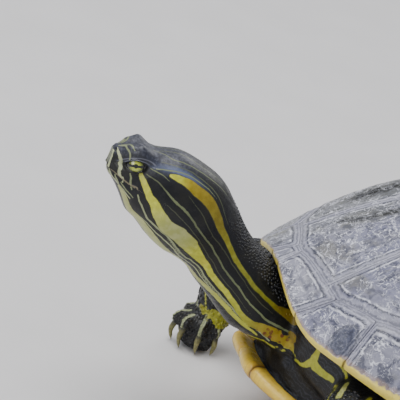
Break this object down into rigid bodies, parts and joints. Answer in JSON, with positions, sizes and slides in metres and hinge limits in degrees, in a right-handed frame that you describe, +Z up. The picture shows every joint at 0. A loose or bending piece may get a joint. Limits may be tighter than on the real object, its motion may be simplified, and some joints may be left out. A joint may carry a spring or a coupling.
{
  "type": "slider turtle",
  "caption": "Still, life-size slider turtle standing on its feet, with a raised striped neck and head, domed scuted carapace, yellow plastron, clawed legs and short tail.",
  "frame": {"origin": "on the ground, under the middle of the whole turtle's box", "axes": "+Z up, the turtle looks along -Y, its left side is +X"},
  "size_m": [0.233, 0.334, 0.1201],
  "materials": {
    "carapace": "horny scutes, worn and finely scratched",
    "rim": "horny scutes with a yellow edge",
    "plastron": "smooth yellow horn with dark blotches",
    "skin": "scaly near-black skin with yellow stripes",
    "eye": "wet and glossy",
    "claw": "smooth horn"
  },
  "bodies": {
    "root": {"nuchal": "rim", "vertebral_1": "carapace", "vertebral_2": "carapace", "vertebral_3": "carapace", "vertebral_4": "carapace", "vertebral_5": "carapace", "costal_left_1": "carapace", "costal_left_2": "carapace", "costal_left_3": "carapace", "costal_left_4": "carapace", "marginal_left_1": "rim", "marginal_left_2": "rim", "marginal_left_3": "rim", "marginal_left_4": "rim", "marginal_left_5": "rim", "marginal_left_6": "rim", "marginal_left_7": "rim", "marginal_left_8": "rim", "marginal_left_9": "rim", "marginal_left_10": "rim", "marginal_left_11": "rim", "marginal_left_12": "rim", "costal_right_1": "carapace", "costal_right_2": "carapace", "costal_right_3": "carapace", "costal_right_4": "carapace", "marginal_right_1": "rim", "marginal_right_2": "rim", "marginal_right_3": "rim", "marginal_right_4": "rim", "marginal_right_5": "rim", "marginal_right_6": "rim", "marginal_right_7": "rim", "marginal_right_8": "rim", "marginal_right_9": "rim", "marginal_right_10": "rim", "marginal_right_11": "rim", "marginal_right_12": "rim", "gular_left": "plastron", "gular_right": "plastron", "humeral_left": "plastron", "humeral_right": "plastron", "pectoral_left": "plastron", "pectoral_right": "plastron", "abdominal_left": "plastron", "abdominal_right": "plastron", "femoral_left": "plastron", "femoral_right": "plastron", "anal_left": "plastron", "anal_right": "plastron", "trunk": "skin", "neck": "skin", "head": "skin", "foreleg_left": "skin", "foreleg_right": "skin", "hindleg_left": "skin", "hindleg_right": "skin", "tail": "skin", "eye_left": "eye", "eye_right": "eye"}
  },
  "joints": []
}
